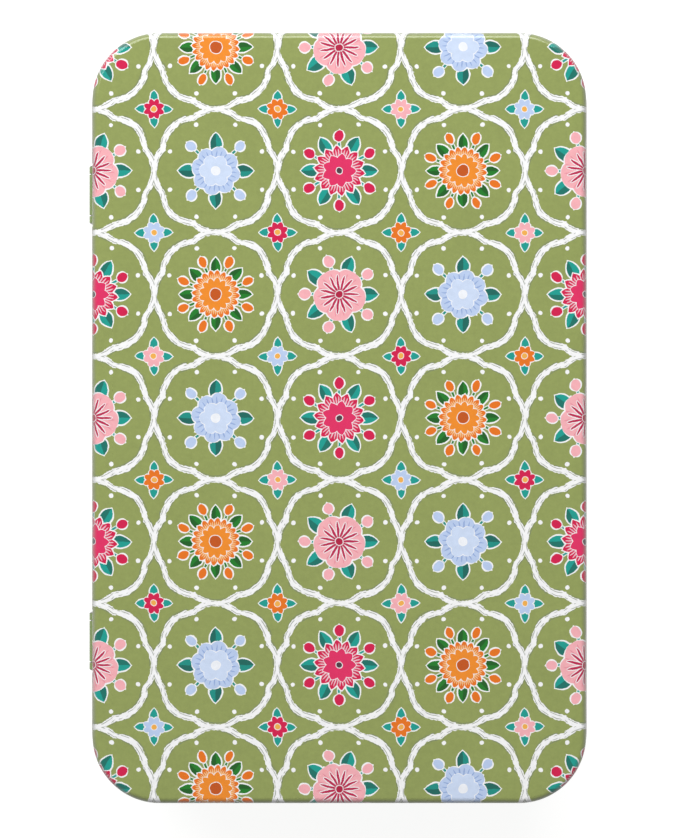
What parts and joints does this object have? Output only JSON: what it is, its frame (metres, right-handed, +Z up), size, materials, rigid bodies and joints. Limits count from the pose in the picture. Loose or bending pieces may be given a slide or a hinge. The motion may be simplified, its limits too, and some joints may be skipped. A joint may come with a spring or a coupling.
{
  "type": "hinged tin box",
  "caption": "Flat rounded-rectangle tin for papers and keepsakes: a shallow lid swings on small wire hinges along one long side of a seamed tinplate base.",
  "frame": {"origin": "on the table, under the middle of the closed box", "axes": "+X from the hinges to the opening edge, +Y along the length, +Z up through the lid"},
  "size_m": [0.1282, 0.1976, 0.05],
  "materials": {
    "printed_tinplate": "sage green ground with a printed flower pattern under satin varnish",
    "varnished_tinplate": "plain sage green under satin varnish",
    "bare_tinplate": "bright tinplate",
    "steel_wire": "drawn steel wire"
  },
  "bodies": {
    "base": {"body_wall": "varnished_tinplate", "bottom_plate": "bare_tinplate", "hinge_pin_right": "steel_wire", "hinge_pin_left": "steel_wire"},
    "lid": {"lid_shell": "printed_tinplate"}
  },
  "joints": [
    {"name": "lid_hinge", "type": "hinge", "parent": "base", "child": "lid", "pos_m": [-0.06352, 0, 0.0383], "axis": [0, -1, 0], "range_deg": [0, 180]}
  ]
}
